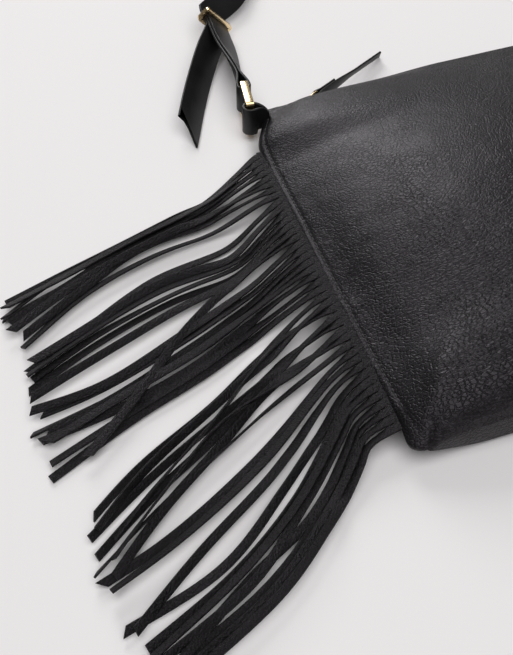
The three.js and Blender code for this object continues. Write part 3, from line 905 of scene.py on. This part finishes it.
def make_strand(side, lock, order, root_y, chance):
    """One strand: it leaves the seam ribbed and level, then drops to the table and rolls with its lock."""
    shares = lock.strands[order]
    places = []
    for (ux, uy), (lx, ly), share in zip(lock.upper, lock.lower, shares):
        places.append((ux + (lx - ux) * share, uy + (ly - uy) * share))
    drift = root_y + STRAND_DRIFT * (places[0][1] - root_y)
    flat = [(-ROOT_TUCK, root_y), (HEADER_SHOW, root_y - ROOT_SLIP), (STRAND_RUN, drift), *places]
    route = Route([(side * (SEAM_X + x), y) for x, y in flat])
    length = min(STRAND_LENGTH + chance.uniform(-5, 3), route.length)
    crossing = abs(shares[3] - shares[0]) > CROSSING_SHARE
    layer = CROSSING_LAYER if crossing else (order * 3) % LAYERS
    drop = STRAND_DROP * chance.uniform(0.8, 1.1)
    rest = FLOOR_GAP + STRAND_THICKNESS / 2 + layer * LAYER
    stand = (lock.stand + chance.uniform(-12, 12)) * chance.choice((-1, 1, 1))
    sway = chance.uniform(6, 22)
    phase = chance.uniform(0, 6)
    rib = chance.uniform(26, 44)
    arch = chance.uniform(0, 3)
    width = STRAND_PITCH - STRAND_KERF
    stations = []
    for share in shares_of(STRAND_STEPS):
        run = share**STEP_CROWDING * length
        at = route.at(run)
        ahead = route.at(min(run + 1, length)) - route.at(max(run - 1, 0))
        level = Vector((side * -ahead.y, side * ahead.x, 0)).normalized()
        free = ramp(run, *FREE_RAMP)
        root_turn = -rib * ramp(run, *RIB_RAMP)
        free_turn = stand + sway * math.sin(phase + run / SWAY_RUN)
        roll = math.radians(root_turn * (1 - free) + free_turn * free)
        lying = rest + width / 2 * abs(math.sin(roll)) + arch * math.sin(math.pi * run / length) * free
        at.z = SEAM_HEIGHT + (lying - SEAM_HEIGHT) * smooth(run / drop)
        stations.append((at, level * math.cos(roll) + UP * math.sin(roll)))
    return strip(stations, width, STRAND_THICKNESS, LEAF_EDGE, last_cut=chance.uniform(-5, 5))


def make_header(side):
    """The strip that the strands are cut from, half hidden in the seam."""
    depth = HEADER_DEPTH + HEADER_SHOW
    middle = side * (SEAM_X + HEADER_SHOW - depth / 2)
    across = Vector((1, 0, 0))
    stations = []
    for i in range(HEADER_STEPS + 1):
        y = FRINGE_TOP + (FRINGE_BASE - FRINGE_TOP) * i / HEADER_STEPS
        stations.append((Vector((middle, y, SEAM_HEIGHT)), across))
    return strip(stations, depth, HEADER_THICKNESS / 2, LEAF_EDGE)


def make_fringe(name, node, side, locks, seed):
    chance = random.Random(seed)
    parts = [make_header(side)]
    root_y = FRINGE_TOP - STRAND_PITCH / 2
    for lock in locks:
        for order in range(len(lock.strands)):
            parts.append(make_strand(side, lock, order, root_y, chance))
            root_y -= STRAND_PITCH
    made = soft_piece(name, joined(parts), fringe_leather, "bag", sharp=50)
    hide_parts(node)


make_fringe("left_fringe", "fringe_left", -1, LEFT_LOCKS, 11)
make_fringe("right_fringe", "fringe_right", 1, RIGHT_LOCKS, 23)


# Strap fittings. A place has its origin, and along, across and face directions.


class Place:
    def __init__(self, origin, along, across):
        self.origin = Vector(origin)
        self.along = along
        self.across = across
        self.face = along.cross(across)

    def point(self, along, face=0.0, across=0.0):
        return self.origin + self.along * along + self.face * face + self.across * across

    def turned(self, angle):
        angle = math.radians(angle)
        swung = self.along * math.cos(angle) + self.face * math.sin(angle)
        return Place(self.origin, swung, self.across)

    def matrix(self):
        """Carries x to along, y to across and z to face, in metres."""
        turn = Matrix((self.along, self.across, self.face)).transposed().to_4x4()
        return Matrix.Translation(self.origin * MM) @ turn


def headed(origin, heading, lean=0):
    """A place that looks along a compass heading, leaning sideways from the upright, in degrees."""
    heading, lean = math.radians(heading), math.radians(lean)
    along = Vector((math.sin(heading), math.cos(heading), 0))
    across = UP * math.cos(lean) + along.cross(UP) * math.sin(lean)
    return Place(origin, along, across)


PIVOT_X = BAG_WIDTH / 2 - MOUTH_CORNER_INSET + CORNER_REACH
PIVOT_Y = MOUTH_Y - PIVOT_DROP
left_pivot = Vector((-PIVOT_X, PIVOT_Y, PIVOT_RISE))
right_pivot = Vector((PIVOT_X, PIVOT_Y, PIVOT_RISE))
left_tab_place = headed(left_pivot, -TAB_HEADING)
left_ring_place = left_tab_place.turned(LEFT_TURN)
right_tab_place = headed(right_pivot, TAB_HEADING)
right_ring_place = right_tab_place.turned(RIGHT_TURN)
keeper_place = headed(left_pivot + Vector(KEEPER_PLACE), KEEPER_HEADING, KEEPER_LEAN)
BAR_RADIUS = math.hypot(RING_BAR, RING_THICKNESS) / 2


def turn_back(bar_at, bar_radius, leaf, reach_a, reach_b, steps):
    """Distances (along, off) of a strip that goes round a bar, from one leaf's end to the other's."""
    wide = bar_radius + SEAT_GAP + leaf / 2
    narrow = leaf / 2 + SEAT_GAP / 2
    settle = 4 * wide
    closing_steps = 8
    turn_steps = 12

    def leaf_line(reach, side):
        line = []
        for share in shares_of(closing_steps)[1:-1]:
            line.append((bar_at + settle * share, side * (wide + (narrow - wide) * smooth(share))))
        for i in range(steps + 1):
            line.append((bar_at + settle + (reach - settle) * i / steps, side * narrow))
        return line

    turn = []
    for i in range(turn_steps + 1):
        angle = math.pi * i / turn_steps
        turn.append((bar_at - wide * math.sin(angle), wide * math.cos(angle)))
    return leaf_line(reach_a, 1)[::-1] + turn + leaf_line(reach_b, -1)


TAB_LEAF_STEPS = 16
TAB_TURN_STEPS = 14
TAB_CLOSING = 1.6
TAB_SPLIT = 0.05
TAB_SEWN_RAMP = (0.3, 0.5)
TAB_SEWN_DROP = 4
TAB_NARROWING = 0.62
STRAP_EDGE = 0.7


def make_tab(name, node, place):
    """A strip round the ring's inner bar, with both leaves drawn in and sewn into the corner of the bag."""
    eye = BAR_RADIUS + SEAT_GAP + TAB_LEAF / 2
    closed = TAB_LEAF / 2 + TAB_SPLIT
    line = []
    for share in shares_of(TAB_LEAF_STEPS):
        away = smooth(1 - share * TAB_CLOSING)
        line.append((-TAB_LENGTH * share, closed + (eye - closed) * away))
    turn = []
    for i in range(1, TAB_TURN_STEPS):
        angle = math.pi * (0.5 - i / TAB_TURN_STEPS)
        turn.append((eye * math.cos(angle), eye * math.sin(angle)))
    path = line[::-1] + turn + [(along, -off) for along, off in line]
    stations = []
    for along, off in path:
        sewn = ramp(-along / TAB_LENGTH, *TAB_SEWN_RAMP)
        across = place.across * (1 - TAB_NARROWING * sewn)
        stations.append((place.point(along, off, -TAB_SEWN_DROP * sewn), across))
    form = strip(stations, STRAP_WIDTH, TAB_LEAF, STRAP_EDGE)
    made = soft_piece(name, form, strap_leather, "bag")
    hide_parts(node)


make_tab("left_tab", "tab_left", left_tab_place)
make_tab("right_tab", "tab_right", right_tab_place)


def flat_loop(name, node, body, place, size, bar, depth, corner, edge, shift):
    """A rounded rectangular loop of metal bar: a block with its middle taken out and its edges rolled."""
    made = block(name, (*size, depth))

    def upright(item):
        ends = [made.data.vertices[i].co for i in item.vertices]
        return abs(ends[0].z - ends[1].z) > depth * MM / 2

    pick(made, "EDGE", "edges", upright)
    bpy.ops.mesh.bevel(offset=corner * MM, segments=6, affect="EDGES")
    pick(made, "FACE", "polygons", lambda item: abs(item.normal.z) > FACING)
    bpy.ops.mesh.inset(thickness=bar * MM, depth=0)
    bpy.ops.mesh.bridge_edge_loops()
    close_up(FINE_WELD)
    rolled = made.modifiers.new("rolled_edges", "BEVEL")
    rolled.width = edge * MM
    rolled.segments = 3
    rolled.limit_method = "ANGLE"
    rolled.angle_limit = math.radians(50)
    bpy.ops.object.modifier_apply(modifier="rolled_edges")
    made.matrix_world = place.matrix() @ Matrix.Translation(Vector(shift) * MM)
    bpy.ops.object.transform_apply(location=True, rotation=True, scale=True)
    dress(made, gold, body, sharp=35)
    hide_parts(node)


RING_SIZE = (RING_SPAN + RING_BAR, STRAP_WIDTH + RING_CLEAR + 2 * RING_BAR)
RING_CORNER = 2.4
RING_EDGE = 0.5
for ring_name, ring_node, ring_body, ring_place in (
    ("left_d_ring", "ring_left", "left_ring", left_ring_place),
    ("right_d_ring", "ring_right", "right_ring", right_ring_place),
):
    ring_form = (RING_SIZE, RING_BAR, RING_THICKNESS, RING_CORNER, RING_EDGE)
    flat_loop(ring_name, ring_node, ring_body, ring_place, *ring_form, shift=(RING_SPAN / 2, 0, 0))


# Chape: the short folded strap between the left ring and the keeper


def bezier(points, t):
    while len(points) > 1:
        points = [a.lerp(b, t) for a, b in zip(points, points[1:])]
    return points[0]


CHAPE_BEND = 2.4
CHAPE_STEPS = 30
CHAPE_EDGE = 0.6

ring_end = left_ring_place.point(RING_SPAN)
straight_start = keeper_place.point(-CHAPE_STRAIGHT)
chape_bend = (straight_start - ring_end).length / CHAPE_BEND
chape_control = [
    ring_end,
    ring_end + left_ring_place.along * chape_bend,
    straight_start - keeper_place.along * chape_bend,
    straight_start,
]
chape_route = Route([bezier(chape_control, share) for share in shares_of(CHAPE_STEPS)], steps=4)


def chape_place(run):
    """The place at this distance from the ring's bar, turning from the ring's lean to the keeper's."""
    held = min(max(run, 0), chape_route.length)
    along = (chape_route.at(held + 0.5) - chape_route.at(held - 0.5)).normalized()
    turn = smooth(held / chape_route.length / CHAPE_TWIST)
    across = left_ring_place.across.lerp(keeper_place.across, turn)
    across = (across - along * across.dot(along)).normalized()
    return Place(chape_route.at(held) + along * (run - held), along, across)


def make_chape():
    reach = chape_route.length + CHAPE_STRAIGHT + CHAPE_OVERRUN
    path = turn_back(0, BAR_RADIUS, CHAPE_LEAF, reach, reach, steps=22)
    stations = []
    for run, off in path:
        place = chape_place(run)
        stations.append((place.point(0, off), place.across))
    form = strip(stations, STRAP_WIDTH, CHAPE_LEAF, CHAPE_EDGE)
    made = soft_piece("buckle_chape", form, strap_leather, "left_ring")
    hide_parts("buckle_strap")


make_chape()

LEAVES_HALF = CHAPE_LEAF + SEAT_GAP / 2
STRAP_OFFSET = -(LEAVES_HALF + SEAT_GAP + STRAP_THICKNESS / 2)
KEEPER_CORNER = 2.2
KEEPER_EDGE = 1.0


def make_keeper():
    """The loop round both leaves of the folded strap and the long strap behind them."""
    low = STRAP_OFFSET - STRAP_THICKNESS / 2 - SEAT_GAP
    high = LEAVES_HALF + SEAT_GAP
    size = (high - low + 2 * KEEPER_BAR, STRAP_WIDTH + RING_CLEAR + 2 * KEEPER_BAR)
    place = Place(keeper_place.origin, keeper_place.face, keeper_place.across)
    form = (size, KEEPER_BAR, KEEPER_LENGTH, KEEPER_CORNER, KEEPER_EDGE)
    flat_loop("keeper_loop", "strap_keeper", "left_ring", place, *form, shift=((high + low) / 2, 0, 0))


make_keeper()


# Long strap

TAIL_STEPS = 44
ARCH_STEPS = 130
SETTLE_SHARE = 0.35
LEANING_SHARE = 0.3
# Middle line of the tail, from the keeper, and of the arch, from the left and the right pivot
TAIL_LINE = ((-51, -106), (-39, -79), (-26, -53), (-13, -30))
ARCH_LEFT = ((34, 152), (78, 212))
ARCH_TOP = 262
ARCH_RIGHT = ((4, 224), (78, 140), (94, 84))
ARCH_END = 9


def lying_height(lean):
    return STRAP_WIDTH / 2 * math.cos(lean) + STRAP_THICKNESS / 2 * abs(math.sin(lean)) + FLOOR_GAP


def strap_stations():
    """Points and leans of the strap's middle line, from its tail to the end of its fold at the right ring."""
    keeper_point = keeper_place.point(0, STRAP_OFFSET)
    lean = math.radians(KEEPER_LEAN)
    anchors = []
    for i, (x, y) in enumerate(TAIL_LINE):
        lift = smooth((i - 1) / 3)
        z = lying_height(lean) * (1 - lift) + keeper_point.z * lift
        anchors.append(Vector((keeper_point.x + x, keeper_point.y + y, z)))
    anchors += [keeper_point + keeper_place.along * share * KEEPER_LENGTH for share in (-3, -1, 1, 3)]
    tail = Route(anchors)
    line = [(tail.at(tail.length * i / TAIL_STEPS), lean) for i in range(TAIL_STEPS + 1)]
    fold_end = right_ring_place.point(RING_SPAN + SEWN_LEAF + STRAP_WIDTH)
    left, right = left_pivot, right_pivot
    arch = Route(
        [
            keeper_point + keeper_place.along * 4 * KEEPER_LENGTH,
            *[(left.x + x, left.y + y, 0) for x, y in ARCH_LEFT],
            ((left.x + right.x) / 2, left.y + ARCH_TOP, 0),
            *[(right.x + x, right.y + y, 0) for x, y in ARCH_RIGHT],
            fold_end + right_ring_place.along * ARCH_END,
            fold_end,
        ]
    )
    for share in shares_of(ARCH_STEPS):
        at = arch.at(arch.length * share)
        settle = smooth(share / SETTLE_SHARE)
        rise = smooth(4 * share - 3)
        flat = math.radians(FLAT_LEAN) * math.sin(math.pi * min(share / LEANING_SHARE, 1))
        here = lean * (1 - settle) + flat
        low = keeper_point.z + (lying_height(here) - keeper_point.z) * settle
        at.z = low + (right_pivot.z - low) * rise
        line.append((at, here))
    for along, off in turn_back(RING_SPAN, BAR_RADIUS, STRAP_THICKNESS, SEWN_LEAF, SEWN_LEAF, 5):
        line.append((right_ring_place.point(along, -off), 0.0))
    return line


def leaned(line):
    """Stations of (point, across) from points and leans."""
    stations = []
    for i, (at, lean) in enumerate(line):
        along = line[min(i + 1, len(line) - 1)][0] - line[max(i - 1, 0)][0]
        side = along.cross(UP).normalized()
        upright = side.cross(along).normalized()
        stations.append((at, upright * math.cos(lean) + side * math.sin(lean)))
    return stations


def run_length(stations):
    return sum((b[0] - a[0]).length for a, b in zip(stations, stations[1:]))


def make_strap():
    """The strap in two runs that meet in its middle."""
    stations = leaned(strap_stations())
    middle = next(i for i in range(TAIL_STEPS + 1, len(stations)) if stations[i][0].x > 0)
    runs = (
        ("strap_left_run", stations[: middle + 1], "left_ring", (-10, 400, 10), (-138, 292, 10), TAIL_CUT),
        ("strap_right_run", stations[middle:], "right_ring", (20, 400, 10), (215, 300, 10), 0),
    )
    for name, part, ring_body, start, end, cut in runs:
        form = strip(part, STRAP_WIDTH, STRAP_THICKNESS, STRAP_EDGE, first_cut=cut)
        made = soft_piece(name, form, strap_leather, None)
        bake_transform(made)
        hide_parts("long_strap")
        run_length(part) * MM


make_strap()


# Zip in the mouth

zip_middle = (front_height(0, TAPE_Y, 1, LEATHER) + back_height(0, TAPE_Y, 1, LEATHER)) / 2
mouth_half = half_width(TAPE_Y, 1) - LEATHER - SEAM_ALLOWANCE
TEETH_LEFT = -mouth_half + ZIP_START_MARGIN
TEETH_RIGHT = mouth_half - ZIP_END_MARGIN
TEETH_LENGTH = TEETH_RIGHT - TEETH_LEFT
TEETH_Y = TAPE_Y + TAPE_THICKNESS / 2 + SEAT_GAP + TEETH_DEPTH / 2
ROW_OFFSET = (TEETH_SPLIT + TEETH_WIDTH) / 2
TAPE_STEPS = 80
TAPE_ROWS = 6
TAPE_DIP = 0.5
TOOTH_PITCH = 2.2
TOOTH_LENGTH = 1.3
TOOTH_INSET = 0.2
TOOTH_BEVEL = 0.25


def make_tape(name, node, side):
    """A woven tape from the teeth out to the leather, with a slight wave along it."""
    length = TEETH_LENGTH + 2 * TAPE_TAIL
    inset = LEATHER + SEAT_GAP
    half = half_width(TAPE_Y, 1) - (inset + SEAM_ALLOWANCE)
    height = front_height if side > 0 else back_height
    rings = []
    for i in range(TAPE_STEPS + 1):
        x = TEETH_LEFT - TAPE_TAIL + length * i / TAPE_STEPS
        edge = height(x / half, TAPE_Y, 1, inset)
        near = zip_middle + side * TEETH_SPLIT / 2
        upper = []
        lower = []
        for share in shares_of(TAPE_ROWS):
            z = near + (edge - near) * share
            dip = -TAPE_DIP * math.sin(math.pi * share) * (1 + 0.5 * math.sin(x * 0.11))
            upper.append(Vector((x, TAPE_Y + TAPE_THICKNESS / 2 + dip, z)))
            lower.append(Vector((x, TAPE_Y - TAPE_THICKNESS / 2 + dip, z)))
        rings.append(upper + lower[::-1])
    made = soft_piece(name, skin(rings), tape_cloth, "bag")
    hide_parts(node)
    wide = abs(height(0, TAPE_Y, 1, inset) - zip_middle)
    wide * MM
    length * MM


make_tape("front_tape", "zip_tape_front", 1)
make_tape("back_tape", "zip_tape_back", -1)


def make_teeth(name, node, side):
    """A row of moulded teeth: one is modelled and the rest are its copies along the tape."""
    made = block(name, (TOOTH_LENGTH, TEETH_DEPTH, TEETH_WIDTH))
    pick(made, "FACE", "polygons", lambda item: item.normal.z * side < -FACING)
    bpy.ops.mesh.inset(thickness=TOOTH_INSET * MM)
    bpy.ops.mesh.select_all(action="SELECT")
    bpy.ops.mesh.bevel(offset=TOOTH_BEVEL * MM, segments=2, affect="EDGES")
    set_mode("OBJECT")
    made.location = Vector((TEETH_LEFT + TOOTH_PITCH / 2, TEETH_Y, zip_middle + side * ROW_OFFSET)) * MM
    bpy.ops.object.transform_apply(location=True, rotation=False, scale=False)
    row = made.modifiers.new("row", "ARRAY")
    row.count = int(TEETH_LENGTH / TOOTH_PITCH)
    row.use_relative_offset = False
    row.use_constant_offset = True
    row.constant_offset_displace = (TOOTH_PITCH * MM, 0, 0)
    bpy.ops.object.modifier_apply(modifier="row")
    dress(made, teeth_plastic, "bag", sharp=40)
    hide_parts(node)


make_teeth("front_teeth", "zip_teeth_front", 1)
make_teeth("back_teeth", "zip_teeth_back", -1)

slider_x = TEETH_LEFT + SLIDER_LENGTH / 2
plate_y = TEETH_Y + TEETH_DEPTH / 2 + SEAT_GAP
bridge_y = plate_y + SLIDER_PLATE
pull_pivot = Vector((slider_x, bridge_y + (BRIDGE_HEIGHT - BRIDGE_BAR) / 2, zip_middle))
pull_place = headed(pull_pivot, 90 - PULL_ANGLE)

LINK_CORNER = 1.4
LINK_EDGE = 0.4
THONG_EDGE = 0.45
THONG_CUT = 4
THONG_LEAN = -0.4
THONG_RAMP = (THONG_FOLD + 4, 30)


def make_pull():
    """The link on the slider and the thong folded round it, whose end hangs down to the table."""
    size = (PULL_LINK_LENGTH + PULL_WIRE, THONG_WIDTH + RING_CLEAR + 2 * PULL_WIRE)
    link = (size, PULL_WIRE, PULL_WIRE, LINK_CORNER, LINK_EDGE)
    flat_loop("zip_pull_link", "pull_link", "pull", pull_place, *link, shift=(PULL_LINK_LENGTH / 2, 0, 0))
    wire_radius = math.hypot(PULL_WIRE, PULL_WIRE) / 2
    path = turn_back(PULL_LINK_LENGTH, wire_radius, THONG_THICKNESS, THONG_LENGTH, THONG_FOLD, 26)
    lying = THONG_WIDTH / 2 + FLOOR_GAP
    line = []
    for along, off in path:
        at = pull_place.point(along, off)
        droop = max((along - PULL_LINK_LENGTH) / THONG_LENGTH, 0)
        at.z = pull_pivot.z + (lying - pull_pivot.z) * droop
        line.append((at, THONG_LEAN * ramp(along, *THONG_RAMP)))
    stations = leaned(line)
    form = strip(stations, THONG_WIDTH, THONG_THICKNESS, THONG_EDGE, first_cut=THONG_CUT)
    made = soft_piece("zip_thong", form, strap_leather, "pull")
    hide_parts("pull_thong")
    length = run_length(stations)


make_pull()


def make_lining():
    """The cloth lining inside the leather, open at the mouth."""
    rim = TAPE_Y - TAPE_THICKNESS / 2 - SEAT_GAP
    outer_inset = LEATHER + SEAT_GAP
    outside = body_rings(outer_inset, rim, turns=6, rows=40, steps=48)
    inside = body_rings(outer_inset + LINING, rim, turns=6, rows=40, steps=48)[::-1]
    form = skin(outside + inside, capped=False)
    made = soft_piece("cloth_lining", form, lining_cloth, "bag", sharp=60)
    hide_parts("lining")


make_lining()

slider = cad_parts["zip_slider"]
slider.data.materials.clear()
slider.data.materials.append(gold)


# Floor and light


def make_floor():
    clear_selection()
    bpy.ops.mesh.primitive_plane_add(size=8, location=(0, 0, 0))
    made = bpy.context.active_object
    made.name = "floor"
    made.data.materials.append(finish("pale_table", paper, Specular_IOR_Level=0.1))


make_floor()


def softbox(name, place, target, size, power):
    data = bpy.data.lights.new(name, "AREA")
    data.shape = "RECTANGLE"
    data.size, data.size_y = size
    data.energy = power
    lamp = new_item(name, data)
    lamp.location = place
    aim(lamp, target)


LIT_PLACE = (-0.1, 0.0, 0.0)
softbox("window", (-0.1, 2.2, 1.3), LIT_PLACE, size=(1.1, 1.5), power=33)
softbox("ceiling", (-0.25, -0.9, 2.7), LIT_PLACE, size=(3.2, 3.0), power=68)

world = bpy.data.worlds.new("studio")
world.use_nodes = True
surround = world.node_tree.nodes["Background"].inputs
surround["Color"].default_value = (1.0, 0.985, 0.985, 1)
surround["Strength"].default_value = 0.12
bpy.context.scene.world = world
bpy.context.scene.view_settings.view_transform = "Standard"
